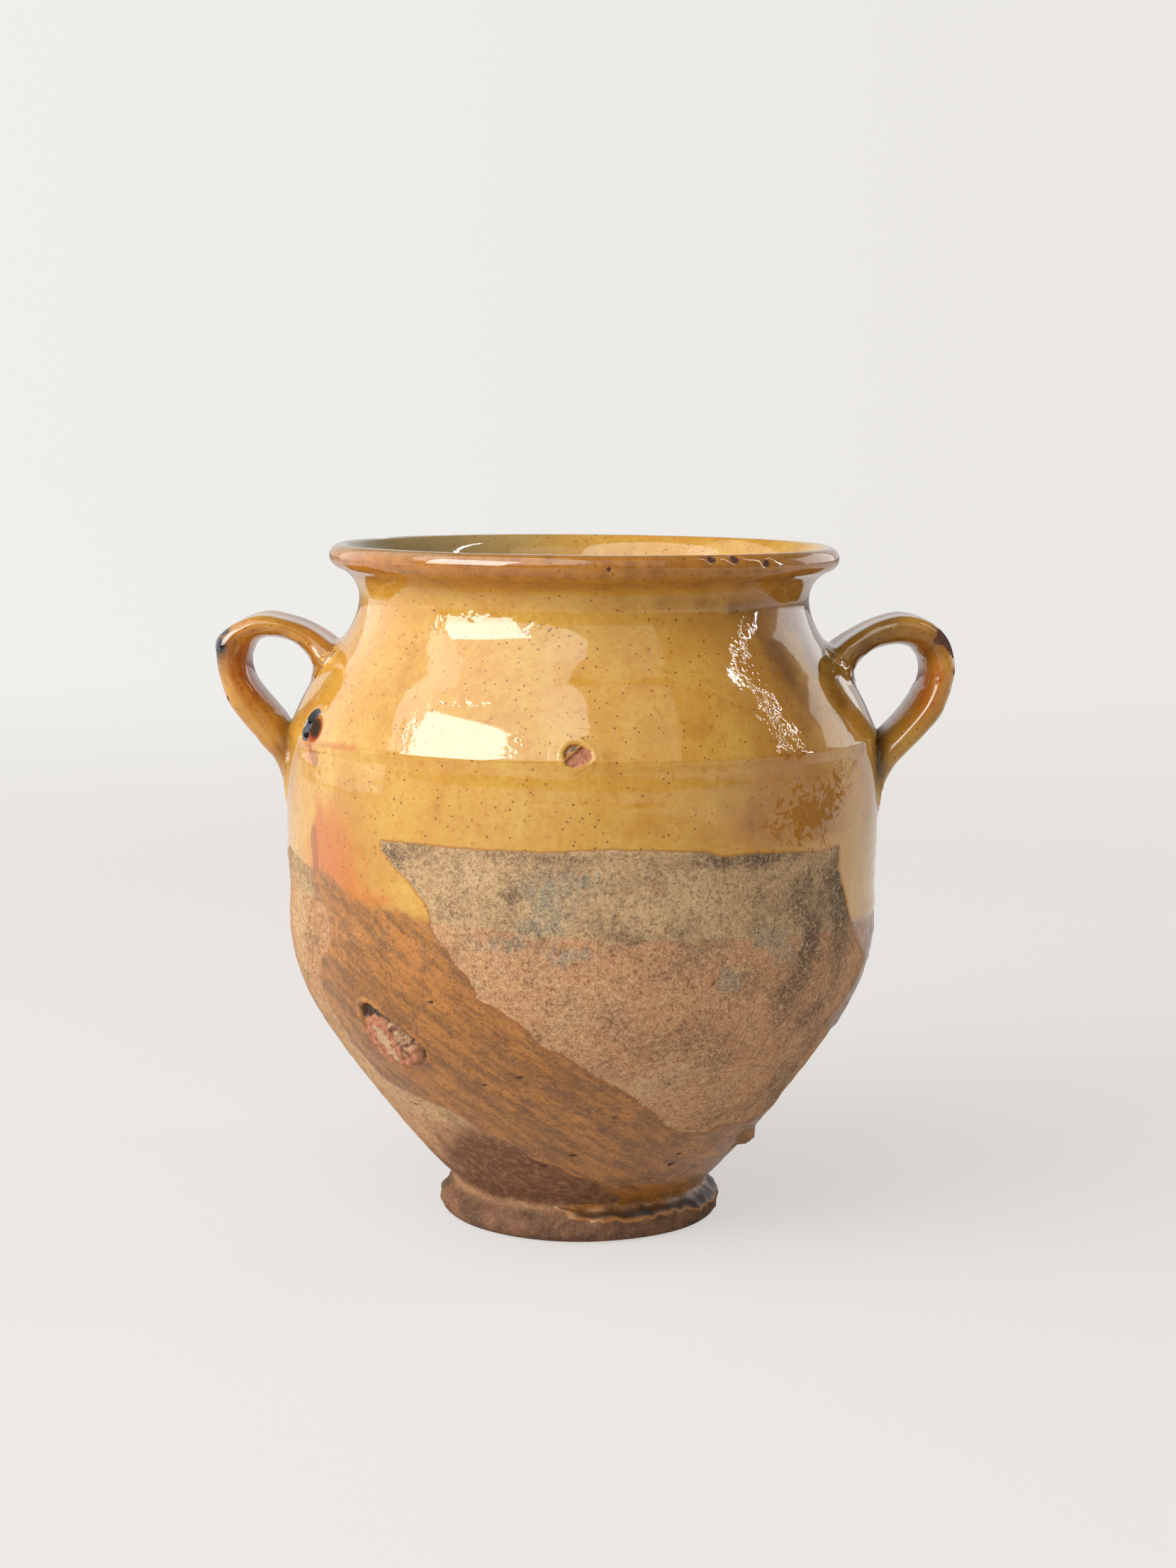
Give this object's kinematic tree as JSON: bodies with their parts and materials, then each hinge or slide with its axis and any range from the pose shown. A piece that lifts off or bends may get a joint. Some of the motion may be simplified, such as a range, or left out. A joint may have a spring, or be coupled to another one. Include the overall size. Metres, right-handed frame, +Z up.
{
  "type": "confit pot",
  "caption": "Thrown earthenware storage pot with a collared rim, a ridged shoulder, two channelled strap handles and a narrow flanged foot, glazed on the upper half.",
  "frame": {"origin": "centre of the foot's flat underside, where the pot stands", "axes": "+Z up along the turning axis, +X towards the right handle seen from the front, +Y towards the back"},
  "size_m": [0.2733, 0.2196, 0.25],
  "materials": {
    "pot": "yellow lead glaze over the upper half, bare grey-brown clay below"
  },
  "bodies": {
    "root": {"confit_pot": "pot"}
  },
  "joints": []
}
